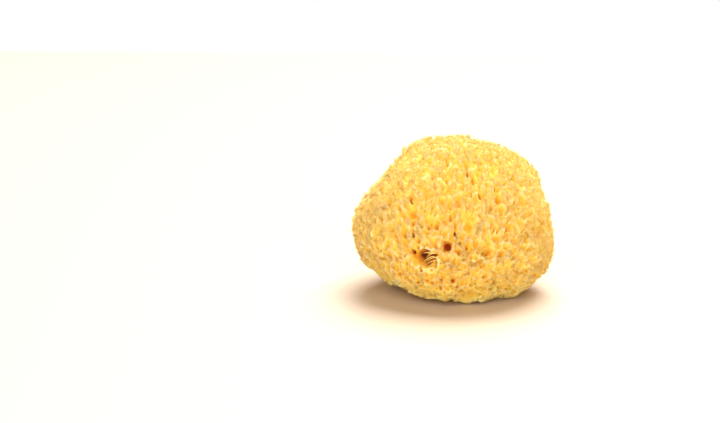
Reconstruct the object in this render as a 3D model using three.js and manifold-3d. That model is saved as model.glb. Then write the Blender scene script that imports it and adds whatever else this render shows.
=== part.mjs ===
/**
 * A natural bath sponge: the springy skeleton of one animal, cleaned, with its
 * underside cut flat where it was taken off the rock. It grew as one piece, so it
 * is one solid. The solid reaches to the tips of the tufts that cover the real
 * sponge, and has its large vents and the canals that the cut laid open.
 *
 * Millimetres, +Z up. The origin is under the middle of the sponge, on the cut,
 * and the sponge faces -Y. A bearing is an angle round Z from the front towards
 * +X, and a lift is an angle above the level of the growth centre, in degrees.
 */
import * as THREE from "three";
import { mergeVertices } from "three/addons/utils/BufferGeometryUtils.js";
import Module from "manifold-3d";

const wasm = await Module();
wasm.setup();

// Driving dimensions.
const MEAN_REACH = 46.2; // from the growth centre to the tuft tips
const CUT_BELOW_CENTRE = 34; // the flat cut's distance under the growth centre
const BODY_DETAIL = 16; // subdivisions of the body's starting icosahedron

// Broad swellings and dents: how far each moves the skin, and the angle that it fades over.
const SWELLINGS = [
  { bearing: 90, lift: -18, rise: 8, spread: 30 }, // low right shoulder
  { bearing: 76, lift: 48, rise: 4.6, spread: 34 }, // high right shoulder
  { bearing: -90, lift: 0, rise: 5.6, spread: 32 }, // left shoulder
  { bearing: -88, lift: -15, rise: 2.6, spread: 16 }, // low left corner
  { bearing: -92, lift: 27, rise: -2.6, spread: 16 }, // hollow above the left shoulder
  { bearing: -84, lift: -54, rise: -6.4, spread: 30 }, // undercut left foot
  { bearing: -78, lift: -40, rise: 3.6, spread: 13 }, // overhanging lip above the left foot
  { bearing: 96, lift: 23, rise: 1.6, spread: 16 }, // full right side
  { bearing: 94, lift: -56, rise: -5.4, spread: 22 }, // undercut right foot
  { bearing: -4, lift: -52, rise: -2, spread: 26 }, // undercut front foot
  { bearing: 200, lift: -50, rise: -3, spread: 30 }, // undercut back foot
  { bearing: 8, lift: 8, rise: 1.6, spread: 40 }, // full front
  { bearing: 172, lift: -4, rise: 2.6, spread: 44 }, // full back
  { bearing: 46, lift: -6, rise: 1.8, spread: 22 }, // round right front
  { bearing: -48, lift: -2, rise: 2.2, spread: 22 }, // round left front
  { bearing: 140, lift: -4, rise: 2.2, spread: 22 }, // round right back
  { bearing: -136, lift: -2, rise: 2.8, spread: 22 }, // round left back
];

// Lumps of the grown surface: waves across the body along a few slanting directions.
const LUMPS = [
  { along: [0.8, 0.5, 0.33], waves: 6.0, rise: 0.6, phase: 0.4 },
  { along: [-0.45, 0.75, 0.5], waves: 8.0, rise: 0.5, phase: 1.2 },
  { along: [0.2, -0.6, 0.78], waves: 10.5, rise: 0.45, phase: 3.1 },
  { along: [0.65, -0.7, -0.3], waves: 13.0, rise: 0.4, phase: 5.0 },
  { along: [-0.9, -0.1, 0.42], waves: 16.0, rise: 0.35, phase: 2.6 },
];

// The large vents, each a canal that runs in towards the growth centre.
const VENTS = [
  { bearing: -4, lift: 1, radius: 2.2, depth: 20 },
  { bearing: -20, lift: -7, radius: 4.4, depth: 9 },
  { bearing: 21, lift: -4, radius: 2.0, depth: 16 },
  { bearing: 0, lift: -21, radius: 1.7, depth: 14 },
  { bearing: -11, lift: 17, radius: 2.0, depth: 14 },
  { bearing: -32, lift: 10, radius: 2.1, depth: 14 },
  { bearing: 10, lift: 17, radius: 3.0, depth: 11 },
  { bearing: 31, lift: 32, radius: 1.8, depth: 12 },
  { bearing: 44, lift: 21, radius: 1.9, depth: 13 },
  { bearing: 49, lift: -17, radius: 2.0, depth: 13 },
  { bearing: -30, lift: 23, radius: 2.6, depth: 9 },
  { bearing: -66, lift: 24, radius: 2.0, depth: 13 },
  { bearing: 84, lift: 4, radius: 2.4, depth: 15 },
  { bearing: 118, lift: 30, radius: 2.8, depth: 17 },
  { bearing: 132, lift: -12, radius: 2.1, depth: 14 },
  { bearing: 165, lift: 14, radius: 3.2, depth: 20 },
  { bearing: 196, lift: -8, radius: 2.2, depth: 15 },
  { bearing: 214, lift: 26, radius: 2.6, depth: 16 },
  { bearing: 242, lift: 2, radius: 2.9, depth: 16 },
  { bearing: 150, lift: 58, radius: 2.7, depth: 18 },
  { bearing: 20, lift: 72, radius: 2.3, depth: 18 },
];

// Canals laid open by the cut, each at a place on it.
const CUT_CANALS = [
  { x: -14, y: 6, radius: 2.6, depth: 14 },
  { x: 4, y: 15, radius: 3.4, depth: 18 },
  { x: 18, y: 8, radius: 2.2, depth: 12 },
  { x: 20, y: -9, radius: 2.9, depth: 15 },
  { x: 6, y: -17, radius: 2.1, depth: 11 },
  { x: -9, y: -10, radius: 2.4, depth: 13 },
];

const CANAL_SIDES = 10;
const MOUTH_FLARE = 1.35; // a canal's mouth against its radius
const THROAT_SHARE = 0.7; // the canal's inner end against its radius
const OVERRUN = 6; // how far a cutter stands out of the skin
const CUT_BLOCK = 200; // side of the block that makes the flat cut

const radians = THREE.MathUtils.degToRad;

/** The unit vector at a bearing and a lift. */
function heading(bearing, lift) {
  const level = Math.cos(radians(lift));
  return new THREE.Vector3(
    Math.sin(radians(bearing)) * level,
    -Math.cos(radians(bearing)) * level,
    Math.sin(radians(lift)),
  );
}

const swellings = SWELLINGS.map((swelling) => ({
  rise: swelling.rise,
  spread: radians(swelling.spread),
  centre: heading(swelling.bearing, swelling.lift),
}));

const lumps = LUMPS.map((lump) => ({
  ...lump,
  along: new THREE.Vector3(...lump.along).normalize(),
}));

/** Distance from the growth centre to the tuft tips, along a unit vector. */
function reachAlong(way) {
  let reach = MEAN_REACH;
  for (const { centre, rise, spread } of swellings) {
    reach += rise * Math.exp(-((way.angleTo(centre) / spread) ** 2));
  }
  for (const { along, waves, rise, phase } of lumps) {
    reach += rise * Math.sin(waves * way.dot(along) + phase);
  }
  return reach;
}

/** The whole grown body, before it was cut from the rock, round the growth centre. */
function grownBody() {
  const body = new THREE.IcosahedronGeometry(1, BODY_DETAIL);
  const places = body.getAttribute("position");
  const way = new THREE.Vector3();
  for (let i = 0; i < places.count; i += 1) {
    way.fromBufferAttribute(places, i).normalize();
    way.multiplyScalar(reachAlong(way));
    places.setXYZ(i, way.x, way.y, way.z);
  }
  return body;
}

/** A canal along +Y: a round inner end at -depth, a flared mouth at 0, open beyond it. */
function canal(radius, depth) {
  const throat = radius * THROAT_SHARE;
  const mouth = radius * MOUTH_FLARE;
  const profile = [
    [0, -depth],
    [throat * 0.7, -depth + throat * 0.3],
    [throat, -depth + throat],
    [radius, -radius * 1.5],
    [mouth, 0],
    [mouth, OVERRUN],
    [0, OVERRUN],
  ].map(([across, along]) => new THREE.Vector2(across, along));
  return new THREE.LatheGeometry(profile, CANAL_SIDES);
}

/** A vent's canal, in place round the growth centre. */
function ventCutter({ bearing, lift, radius, depth }) {
  const way = heading(bearing, lift);
  const turn = new THREE.Quaternion().setFromUnitVectors(THREE.Object3D.DEFAULT_UP, way);
  const mouth = way.clone().multiplyScalar(reachAlong(way));
  return canal(radius, depth).applyQuaternion(turn).translate(mouth.x, mouth.y, mouth.z);
}

/** A canal that the cut laid open, standing up into the body from the cut. */
function cutCanalCutter({ x, y, radius, depth }) {
  return canal(radius, depth).rotateX(-Math.PI / 2).translate(x, y, -CUT_BELOW_CENTRE);
}

/** The block whose top is the cut. */
function rockCutter() {
  const middle = -CUT_BELOW_CENTRE - CUT_BLOCK / 2;
  return new THREE.BoxGeometry(CUT_BLOCK, CUT_BLOCK, CUT_BLOCK).translate(0, 0, middle);
}

/** A closed three.js geometry as a manifold-3d solid. */
function solidOf(geometry) {
  const bare = geometry.clone();
  bare.deleteAttribute("normal");
  bare.deleteAttribute("uv");
  const merged = mergeVertices(bare, 1e-4);
  return new wasm.Manifold(
    new wasm.Mesh({
      numProp: 3,
      vertProperties: merged.getAttribute("position").array,
      triVerts: new Uint32Array(merged.index.array),
    }),
  );
}

/** A manifold-3d solid as a three.js geometry. */
function geometryOf(solid) {
  const { vertProperties, triVerts } = solid.getMesh();
  const geometry = new THREE.BufferGeometry();
  geometry.setAttribute("position", new THREE.BufferAttribute(vertProperties, 3));
  geometry.setIndex(new THREE.BufferAttribute(triVerts, 1));
  return geometry;
}

/** Moves a geometry so that the middle of its underside is the origin. */
function standOnOrigin(geometry) {
  geometry.computeBoundingBox();
  const { min, max } = geometry.boundingBox;
  geometry.translate(-(min.x + max.x) / 2, -(min.y + max.y) / 2, -min.z);
  geometry.computeVertexNormals();
  return geometry;
}

/** The cut and vented sponge, standing on the origin. */
function spongeGeometry() {
  let body = solidOf(grownBody());
  const cutters = [rockCutter(), ...VENTS.map(ventCutter), ...CUT_CANALS.map(cutCanalCutter)];
  for (const cutter of cutters) {
    body = body.subtract(solidOf(cutter));
  }
  return standOnOrigin(geometryOf(body));
}

const fibre = new THREE.MeshStandardMaterial({
  name: "sponge_fibre",
  color: 0xf6c557,
  roughness: 0.85,
  metalness: 0,
});

const sponge = new THREE.Mesh(spongeGeometry(), fibre);
sponge.name = "sponge";

const seaSponge = new THREE.Group();
seaSponge.name = "sea_sponge";
seaSponge.add(sponge);

export default seaSponge;
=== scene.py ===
"""A natural bath sponge, standing on its cut underside on a pale studio floor.

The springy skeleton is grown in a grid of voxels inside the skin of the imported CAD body. It
starts solid, with a lumpy top and a cut whose rim curls up at one side. Then vents, thousands
of pits, pores and the canals that the cut laid open are taken out of it, and what stays up
between the pits is the tufts. Their crests get a nap of loose fibres. Sculpting is in
millimetres; every mesh is stored in metres.

A bearing is an angle round Z from the front (-Y) towards +X, and a lift is an angle above
the level of the growth centre, both in degrees.
"""

import logging
import math
from dataclasses import dataclass, field
from enum import Enum
from typing import ClassVar

import bpy
import numpy as np
import openvdb
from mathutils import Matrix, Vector
from mathutils.bvhtree import BVHTree

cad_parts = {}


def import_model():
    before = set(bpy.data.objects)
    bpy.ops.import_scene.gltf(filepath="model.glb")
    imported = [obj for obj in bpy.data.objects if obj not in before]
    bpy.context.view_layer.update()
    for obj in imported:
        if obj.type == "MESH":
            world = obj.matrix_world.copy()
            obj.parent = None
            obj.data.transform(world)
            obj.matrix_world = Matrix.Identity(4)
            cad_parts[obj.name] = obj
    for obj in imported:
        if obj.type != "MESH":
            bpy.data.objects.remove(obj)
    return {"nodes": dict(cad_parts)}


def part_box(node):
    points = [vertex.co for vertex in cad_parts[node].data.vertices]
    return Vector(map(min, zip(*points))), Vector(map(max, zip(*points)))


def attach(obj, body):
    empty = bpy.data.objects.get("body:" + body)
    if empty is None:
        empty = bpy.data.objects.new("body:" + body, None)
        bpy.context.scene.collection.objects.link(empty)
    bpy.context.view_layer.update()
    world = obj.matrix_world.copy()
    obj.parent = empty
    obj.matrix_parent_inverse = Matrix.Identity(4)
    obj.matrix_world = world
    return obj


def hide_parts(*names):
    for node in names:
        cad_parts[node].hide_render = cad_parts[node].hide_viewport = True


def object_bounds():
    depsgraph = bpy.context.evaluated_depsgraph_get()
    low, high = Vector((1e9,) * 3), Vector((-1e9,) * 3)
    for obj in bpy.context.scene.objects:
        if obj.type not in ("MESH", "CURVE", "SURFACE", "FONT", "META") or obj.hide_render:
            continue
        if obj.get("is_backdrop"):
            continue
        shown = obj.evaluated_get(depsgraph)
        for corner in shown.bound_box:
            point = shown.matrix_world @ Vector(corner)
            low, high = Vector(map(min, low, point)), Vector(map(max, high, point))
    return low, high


LOG = logging.getLogger("sponge")
MM = 0.001
BODY = "root"
NODE = "sponge"
SLOT = "sponge_fibre"
GOLDEN_ANGLE = math.pi * (3 - math.sqrt(5))
MEAN_REACH = 48.0  # from the growth centre to the tips, in millimetres
GROWTH_CENTRE = np.array([0.18, -0.83, 34.0])  # in millimetres
HOLDFAST = np.array([0.0, 2.0, 0.0])  # where it held its rock, and its fibres run from
TUFT_SLANT = 2.0  # how strongly the tufts lean away from the holdfast
CANAL_SLANT = 1.5  # and the canals


def headings(bearing: np.ndarray, lift: np.ndarray) -> np.ndarray:
    """Turns bearings and lifts into unit vectors.

    Args:
        bearing: Angles round Z from the front, in degrees.
        lift: Angles above the level, in degrees.

    Returns:
        Unit vectors, one row each.
    """
    round_z, up = np.radians(bearing), np.radians(lift)
    level = np.cos(up)
    return np.stack([np.sin(round_z) * level, -np.cos(round_z) * level, np.sin(up)], -1)


def unit(vectors: np.ndarray) -> np.ndarray:
    """Scales vectors, along the last axis, to length one."""
    return vectors / np.maximum(np.linalg.norm(vectors, axis=-1, keepdims=True), 1e-9)


def side_axes(ways: np.ndarray) -> tuple[np.ndarray, np.ndarray]:
    """Two unit vectors square to each way and to each other.

    Args:
        ways: Unit vectors, one row each.

    Returns:
        The level one and the upward one, one row each.
    """
    nearly_upright = 0.98
    helper = np.where(np.abs(ways[:, 2:3]) > nearly_upright, [[1.0, 0, 0]], [[0, 0, 1.0]])
    level = unit(np.cross(helper, ways))
    return level, np.cross(ways, level)


def spread_points(count: int, jitter: float, rng: np.random.Generator) -> np.ndarray:
    """Unit vectors spread evenly over the ball, each nudged by chance.

    Args:
        count: How many.
        jitter: The nudge, as a share of the spacing.
        rng: The source of chance.

    Returns:
        Unit vectors, one row each.
    """
    step = np.arange(count) + 0.5
    up = 1 - 2 * step / count
    level = np.sqrt(1 - up * up)
    ways = np.stack([np.cos(step * GOLDEN_ANGLE) * level, np.sin(step * GOLDEN_ANGLE) * level, up], -1)
    spacing = math.sqrt(4 * math.pi / count)
    return unit(ways + rng.normal(0, jitter * spacing, ways.shape))


def draw(rng: np.random.Generator, *ranges: tuple[float, float]) -> np.ndarray:
    """Draws one number evenly from each range."""
    return rng.uniform(*zip(*ranges))


def grown_ways(ways: np.ndarray, places: np.ndarray, slant: float | np.ndarray) -> np.ndarray:
    """The ways that fibres or canals run at some places on the skin.

    They lean out of the skin's own direction, away from the holdfast.

    Args:
        ways: The unit vector to each place from the growth centre.
        places: The places, in millimetres.
        slant: How strongly they lean.

    Returns:
        Unit vectors, one row each.
    """
    risen = unit(places - HOLDFAST)
    aside = risen - ways * (risen * ways).sum(-1, keepdims=True)
    return unit(ways + aside * slant)


class Zone(Enum):
    """The regions that the loose fibres are parted into, by the way that each faces."""

    CROWN = (0.05, 0.1, 1.0)
    FRONT = (-0.1, -1.0, 0.05)
    RIGHT = (1.0, 0.0, 0.05)
    BACK = (0.1, 1.0, 0.05)
    LEFT = (-1.0, 0.1, 0.05)

    def way(self) -> np.ndarray:
        """The unit vector that the zone faces."""
        return unit(np.array(self.value))

    @classmethod
    def of(cls, points: np.ndarray) -> np.ndarray:
        """The place, in the list of zones, of the zone that each point is in."""
        ways = np.stack([zone.way() for zone in cls])
        return np.argmax((points - GROWTH_CENTRE) @ ways.T, axis=1)


@dataclass(frozen=True)
class Foot:
    """The smoother and duller skin near the cut, which reaches higher on the left.

    Fields:
        top: The height that it fades out at, in the middle, in millimetres.
        fade: The height that it fades over, in millimetres.
        slant: How much lower its top is for each millimetre to the right.
        straightens: The share of their slant that the tufts lose in it.
    """

    top: float = 18.0
    fade: float = 12.0
    slant: float = 0.08
    straightens: float = 0.6

    def share(self, x: np.ndarray, z: np.ndarray) -> np.ndarray:
        """How much of it, from 0 to 1, there is at some places along X and some heights."""
        return np.clip((self.top - self.slant * x - z) / self.fade, 0, 1)

    def tuft_ways(self, ways: np.ndarray, places: np.ndarray) -> np.ndarray:
        """The ways that tufts run at places on the skin, given the ways out to the places."""
        foot = self.share(places[:, :1], places[:, 2:])
        return grown_ways(ways, places, TUFT_SLANT * (1 - self.straightens * foot))


class Noise:
    """Smooth random values in space, from a lattice of seeded random numbers."""

    def __init__(self, cell: float, seed: int, rise: float = 1.0, lattice: int = 48) -> None:
        """Makes the lattice.

        Args:
            cell: Size of one bump, in millimetres.
            seed: The seed.
            rise: The highest value, and the lowest with its sign changed.
            lattice: Lattice points along a side, after which the noise repeats.
        """
        self.cell = cell
        self.rise = rise
        self.lattice = lattice
        self.values = np.random.default_rng(seed).uniform(-1, 1, (lattice,) * 3).astype(np.float32)

    def at(self, points: np.ndarray) -> np.ndarray:
        """The noise at some places.

        Args:
            points: Places in millimetres, one row each.

        Returns:
            Values from -rise to rise.
        """
        place = points / self.cell
        low = np.floor(place).astype(int)
        part = place - low
        part = part * part * (3 - 2 * part)
        total = np.zeros(len(points), np.float32)
        for corner in np.ndindex(2, 2, 2):
            index = (low + corner) % self.lattice
            weight = np.prod(np.where(corner, part, 1 - part), axis=1)
            total += self.values[index[:, 0], index[:, 1], index[:, 2]] * weight
        return self.rise * total

    def on(self, axes: list[np.ndarray]) -> np.ndarray:
        """The noise all over a box of voxels, blended along one axis after another.

        Args:
            axes: The voxels' places along each axis, in millimetres.

        Returns:
            Values from -rise to rise, one for each voxel.
        """
        found = self.values
        for axis, places in enumerate(axes):
            place = places.ravel() / self.cell
            low = np.floor(place).astype(int)
            part = (place - low).astype(np.float32)
            part = part * part * (3 - 2 * part)
            near = np.take(found, low % self.lattice, axis)
            far = np.take(found, (low + 1) % self.lattice, axis)
            along = [1, 1, 1]
            along[axis] = -1
            found = near + (far - near) * part.reshape(along)
        return self.rise * found


@dataclass
class VoxelGrid:
    """A box of evenly spaced voxels.

    Fields:
        low: The lowest corner, in millimetres.
        high: The highest corner, in millimetres.
        pitch: The spacing, in millimetres.
        shape: How many there are along each axis.
        axes: Their places along each axis, shaped to blend.
    """

    low: np.ndarray
    high: np.ndarray
    pitch: float
    shape: tuple[int, int, int] = field(init=False)
    axes: list[np.ndarray] = field(init=False)

    def __post_init__(self) -> None:
        """Counts the voxels and lists their places."""
        self.shape = tuple(int(n) for n in np.ceil((self.high - self.low) / self.pitch) + 1)
        self.axes = []
        for axis in range(3):
            along = [1, 1, 1]
            along[axis] = -1
            places = self.low[axis] + self.pitch * np.arange(self.shape[axis])
            self.axes.append(places.astype(np.float32).reshape(along))

    def window(self, low: np.ndarray, high: np.ndarray) -> tuple[tuple[slice, ...], list[np.ndarray]]:
        """The voxels inside a box.

        Args:
            low: The box's lowest corner, in millimetres.
            high: The box's highest corner, in millimetres.

        Returns:
            Their slices, and their places along each axis.
        """
        first = np.maximum(np.floor((low - self.low) / self.pitch).astype(int), 0)
        last = np.minimum(np.ceil((high - self.low) / self.pitch).astype(int) + 1, self.shape)
        x, y, z = (slice(int(a), max(int(a), int(b))) for a, b in zip(first, last))
        return (x, y, z), [self.axes[0][x], self.axes[1][:, y], self.axes[2][:, :, z]]

    def sample(self, values: np.ndarray, points: np.ndarray) -> np.ndarray:
        """Blends the voxels' values at some places.

        Args:
            values: One value for each voxel.
            points: Places in millimetres, one row each.

        Returns:
            The value at each place.
        """
        place = np.clip((points - self.low) / self.pitch, 0, np.array(self.shape) - 1.001)
        low = place.astype(int)
        part = (place - low).astype(np.float32)
        total = np.zeros(len(points), np.float32)
        for corner in np.ndindex(2, 2, 2):
            weight = np.prod(np.where(corner, part, 1 - part), axis=1)
            x, y, z = (low + corner).T
            total += values[x, y, z] * weight
        return total

    def blurred(self, values: np.ndarray, reach: float) -> np.ndarray:
        """Averages the voxels' values over a cube round each voxel.

        Args:
            values: One value for each voxel.
            reach: Half the cube's side, in millimetres.

        Returns:
            The averages.
        """
        steps = round(reach / self.pitch)
        for axis in range(3):
            pad = [(0, 0)] * 3
            pad[axis] = (steps + 1, steps)
            sums = np.cumsum(np.pad(values, pad, mode="edge"), axis, dtype=np.float32)
            size = self.shape[axis]
            ahead = np.take(sums, range(2 * steps + 1, 2 * steps + 1 + size), axis)
            behind = np.take(sums, range(size), axis)
            values = (ahead - behind) / (2 * steps + 1)
        return values


@dataclass(frozen=True)
class Vent:
    """A large opening in the skin and the canal that runs down from it to the holdfast.

    Fields:
        bearing: Where its mouth is, round Z from the front, in degrees.
        lift: Where its mouth is, above the growth centre's level, in degrees.
        radius: Half the canal's width, in millimetres.
        depth: How far in it runs, in millimetres.
        tall: Its height against its width.
        flare: How much wider its mouth is, as a share of its radius.
        slant: How strongly it leans away from the holdfast.
    """

    bearing: float
    lift: float
    radius: float
    depth: float
    tall: float = 1.0
    flare: float = 0.45
    slant: float = CANAL_SLANT

    def way(self) -> np.ndarray:
        """The unit vector from the growth centre to the mouth."""
        return headings(np.array(self.bearing), np.array(self.lift))

    def clear(self, ways: np.ndarray, reach: float) -> np.ndarray:
        """Which of some unit vectors meet the skin further than a reach from the mouth."""
        return ways @ self.way() < math.cos(reach / MEAN_REACH)


LARGE_VENTS = (
    Vent(-4, 2, 2.9, 10, 1.0, 0.25, 0.5),
    Vent(-18.5, -7.5, 7.3, 8.5, 0.7, 0.15, 0.1),
    Vent(23, 0, 1.9, 9),
    Vent(0, -19, 1.5, 10),
    Vent(-12, 17, 2.3, 8, 0.9, 0.8),
    Vent(-32, 10, 1.9, 8),
    Vent(10, 16, 2.5, 6.8, 1.6, 0.6),
    Vent(32, 32, 2.2, 7.5, 1.1, 0.7),
    Vent(44, 21, 1.7, 9, 1.5, 0.8),
    Vent(49, -17, 1.8, 8),
    Vent(-30, 23, 2.8, 7, 1.0, 0.7),
    Vent(-66, 24, 1.8, 9),
    Vent(84, 4, 2.2, 12),
    Vent(118, 30, 2.6, 13),
    Vent(132, -12, 2.0, 11),
    Vent(165, 14, 3.0, 14),
    Vent(196, -8, 2.1, 11),
    Vent(214, 26, 2.4, 12),
    Vent(242, 2, 2.7, 12),
    Vent(150, 58, 2.5, 13),
    Vent(20, 72, 2.1, 11),
)

SMALL_VENTS = (
    Vent(-2, 5, 1.2, 7, 1.8, 0.2),
    Vent(-1, 8, 1.3, 7, 1.8, 0.2),
    Vent(2, 11, 0.8, 10, 1.5),
    Vent(-16, -10, 3.0, 7, 0.8, 0.3, 0.2),
    Vent(-25, -5, 2.4, 6, 1.0, 0.3, 0.3),
    Vent(-21, -9, 2.5, 15, 0.8, 0.1, 0.0),
    Vent(1, 10, 0.9, 8, 1.6, 0.2, 0.4),
    Vent(-1.5, 6, 1.3, 6, 1.7, 0.3, 0.4),
    Vent(-28, -3, 1.0, 10, 1.6, 0.3, 0.5),
    Vent(-14, -8, 1.0, 11, 1.0, 0.1, 0.0),
    Vent(-21, -14, 0.9, 7),
    Vent(18, -6, 1.1, 8),
    Vent(-17, 16, 1.1, 8),
    Vent(-27, 11, 1.2, 9, 1.5),
    Vent(31, -2, 1.5, 7),
    Vent(20, 36, 1.1, 9, 1.8),
    Vent(-13, 44, 1.3, 8),
    Vent(46, 12, 2.3, 6.5, 1.1, 0.6),
    Vent(28, 7, 2.2, 6.5, 0.9, 0.6),
    Vent(10, 1, 1.1, 6),
    Vent(-35, 33, 1.3, 8),
    Vent(12, 51, 1.1, 8, 2.0),
    Vent(-7, 56, 1.3, 8),
    Vent(28, -15, 1.2, 7),
    Vent(49, -2, 1.4, 7),
    Vent(-27, 44, 1.2, 8),
    Vent(-7, -4, 0.8, 6),
    Vent(-55, 2, 1.5, 7),
    Vent(12, -8, 1.0, 6),
    Vent(33, 24, 1.5, 6.5, 1.6, 0.6),
    Vent(3, 30, 1.2, 6.5, 1.8, 0.6),
    Vent(-2, 22, 1.1, 6.5, 1.6, 0.5),
    Vent(-20, 34, 1.2, 6.5, 1.8, 0.5),
    Vent(24, 16, 1.1, 6, 1.7, 0.5),
    Vent(-45, 17, 1.2, 6, 1.3, 0.6),
    Vent(60, 8, 1.3, 6.5, 1.2, 0.6),
    Vent(53, 25, 2.4, 6.5, 1.2, 0.6),
    Vent(35, 13, 1.4, 7, 1.3, 0.5),
    Vent(-42, 70, 1.1, 7),
    Vent(-21, 71, 1.1, 7),
)

# Notches in the rim of the cut.
RIM_NOTCHES = (
    Vent(-17, -42, 3.0, 9, 0.8, 0.4, 0.0),
    Vent(22, -47, 1.7, 6, 0.8, 0.4, 0.0),
    Vent(-44, -38, 2.0, 7, 0.7, 0.4, 0.0),
    Vent(48, -46, 2.0, 7, 0.8, 0.4, 0.0),
    Vent(96, -46, 2.2, 7, 0.8, 0.4, 0.0),
    Vent(148, -46, 2.6, 8, 0.8, 0.4, 0.0),
    Vent(196, -47, 2.0, 7, 0.8, 0.4, 0.0),
    Vent(240, -46, 2.4, 8, 0.8, 0.4, 0.0),
    Vent(279, -45, 1.8, 6, 0.8, 0.4, 0.0),
)
NAMED_VENTS = (*LARGE_VENTS, *SMALL_VENTS, *RIM_NOTCHES)
# The wide front hollow, deep in which a shadow is painted into the colour.
SHADED_VENT = LARGE_VENTS[1]

# Where the cut laid canals open: along X and Y from the growth centre, radius and depth.
CUT_CANALS = (
    (-14, 6, 2.6, 14),
    (4, 15, 3.4, 18),
    (18, 8, 2.2, 12),
    (20, -9, 2.9, 15),
    (6, -17, 2.1, 11),
    (-9, -10, 2.4, 13),
)


@dataclass(frozen=True)
class Bore:
    """One hollow as it is cut out of the body.

    Fields:
        mouth: The middle of its mouth, in millimetres.
        way: The unit vector from its end out through its mouth.
        radius: Half its width, in millimetres.
        depth: Its length, in millimetres.
        tall: Its height against its width.
        flare: How much wider its mouth is, as a share of its radius.
        taper: How late it narrows: 1 all the way down, 4 just before its end.
    """

    mouth: np.ndarray
    way: np.ndarray
    radius: float
    depth: float
    tall: float
    flare: float
    taper: float = 4.0


@dataclass
class Envelope:
    """How far the tips of the tufts reach from the growth centre, in every direction.

    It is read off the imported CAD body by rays. Over the vents' mouths it is filled in from
    round them, and under the cut it goes on as at the rim.

    Fields:
        node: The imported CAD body.
        columns: Bearings in the table.
        rows: Lifts in the table.
        cut_height: The height below which a ray has met the cut, in millimetres.
        widest_flare: How wide a vent's mouth is on the CAD body, against its radius.
        margin: How far round the mouth the entries are filled in, in millimetres.
        rounds: How often the filled entries are blended with those round them.
        table: The reach at each lift and bearing, in millimetres.
    """

    node: bpy.types.Object
    columns: int = 240
    rows: int = 121
    cut_height: float = 0.4
    widest_flare: float = 1.5
    margin: float = 2.0
    rounds: int = 200
    table: np.ndarray = field(init=False)

    def __post_init__(self) -> None:
        """Reads the table off the CAD body."""
        bearing = np.linspace(-180, 180, self.columns, endpoint=False)
        lift = np.linspace(-90, 90, self.rows)
        ways = headings(*np.meshgrid(bearing, lift))
        reach, height = self._cast(ways)
        cut = height < self.cut_height
        for column in range(self.columns):
            rim = int(np.flatnonzero(cut[:, column])[-1]) + 1
            reach[:rim, column] = reach[rim, column]
        open_ways = np.zeros(reach.shape, bool)
        for vent in LARGE_VENTS:
            around = math.asin((vent.radius * self.widest_flare + self.margin) / MEAN_REACH)
            open_ways |= ways @ vent.way() > math.cos(around)
        self.table = self._filled(reach, open_ways).astype(np.float32)

    def _cast(self, ways: np.ndarray) -> tuple[np.ndarray, np.ndarray]:
        """Where rays that come in along each way meet the CAD body.

        Args:
            ways: Unit vectors, a table of them.

        Returns:
            The distances from the growth centre and the heights above the cut.
        """
        mesh = self.node.data
        tree = BVHTree.FromPolygons(
            [vertex.co[:] for vertex in mesh.vertices], [face.vertices[:] for face in mesh.polygons]
        )
        far = 0.2  # metres, well outside the body
        reach = np.zeros(ways.shape[:2])
        height = np.zeros(ways.shape[:2])
        middle = GROWTH_CENTRE * MM
        for row, column in np.ndindex(*reach.shape):
            way = ways[row, column]
            hit, _, _, gone = tree.ray_cast(Vector(middle + way * far), Vector(-way))
            reach[row, column] = (far - gone) / MM
            height[row, column] = hit.z / MM
        return reach, height

    def _filled(self, reach: np.ndarray, open_ways: np.ndarray) -> np.ndarray:
        """Blends the open entries of a table in from round them.

        Args:
            reach: The table.
            open_ways: Which of its entries to fill.

        Returns:
            The filled table.
        """
        known = np.where(open_ways, np.nan, reach)
        filled = np.where(open_ways, np.nanmean(known), reach)
        for _ in range(self.rounds):
            ring = [np.roll(filled, 1, 1), np.roll(filled, -1, 1)]
            ring += [np.vstack([filled[:1], filled[:-1]]), np.vstack([filled[1:], filled[-1:]])]
            filled = np.where(open_ways, sum(ring) / len(ring), filled)
        return filled

    def along(self, ways: np.ndarray) -> np.ndarray:
        """The reach along unit vectors.

        Args:
            ways: Unit vectors, along the last axis.

        Returns:
            Distances in millimetres.
        """
        bearing = np.arctan2(ways[..., 0], -ways[..., 1])
        lift = np.arcsin(np.clip(ways[..., 2], -1, 1))
        column = (bearing / (2 * math.pi) + 0.5) * self.columns
        row = (lift / math.pi + 0.5) * (self.rows - 1)
        left, low = np.floor(column).astype(np.int32), np.floor(row).astype(np.int32)
        low = np.clip(low, 0, self.rows - 2)
        across, up = (column - left).astype(np.float32), (row - low).astype(np.float32)
        left = left % self.columns
        right = (left + 1) % self.columns
        lower = self.table[low, left] * (1 - across) + self.table[low, right] * across
        upper = self.table[low + 1, left] * (1 - across) + self.table[low + 1, right] * across
        return lower * (1 - up) + upper * up

    def place(self, ways: np.ndarray) -> np.ndarray:
        """The places on the envelope along unit vectors, in millimetres."""
        return GROWTH_CENTRE + ways * self.along(ways)[..., None]


@dataclass(frozen=True)
class PitKind:
    """One size of the pits that leave the tufts standing between them.

    Fields:
        count: How many there are, over the whole ball.
        jitter: How unevenly they are spread, as a share of their spacing.
        radius: Least and most half width at the mouth, as a share of their spacing.
        depth: Least and most length, in millimetres.
        lean: How far they lean out of line.
    """

    count: int
    jitter: float
    radius: tuple[float, float]
    depth: tuple[float, float]
    lean: float


PITS = PitKind(3100, 0.38, (0.40, 0.82), (3.6, 7.8), 0.16)
NICKS = PitKind(10_500, 0.5, (0.30, 0.60), (2.2, 5.8), 0.28)


@dataclass(frozen=True)
class PoreKind:
    """One kind of small pore.

    Fields:
        count: How many there are, before those out of place are left out.
        radius: Least and most half width, in millimetres.
        depth: Least and most length, in millimetres.
        flare: How much wider the mouth is, as a share of the radius.
    """

    count: int
    radius: tuple[float, float]
    depth: tuple[float, float]
    flare: float


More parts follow.
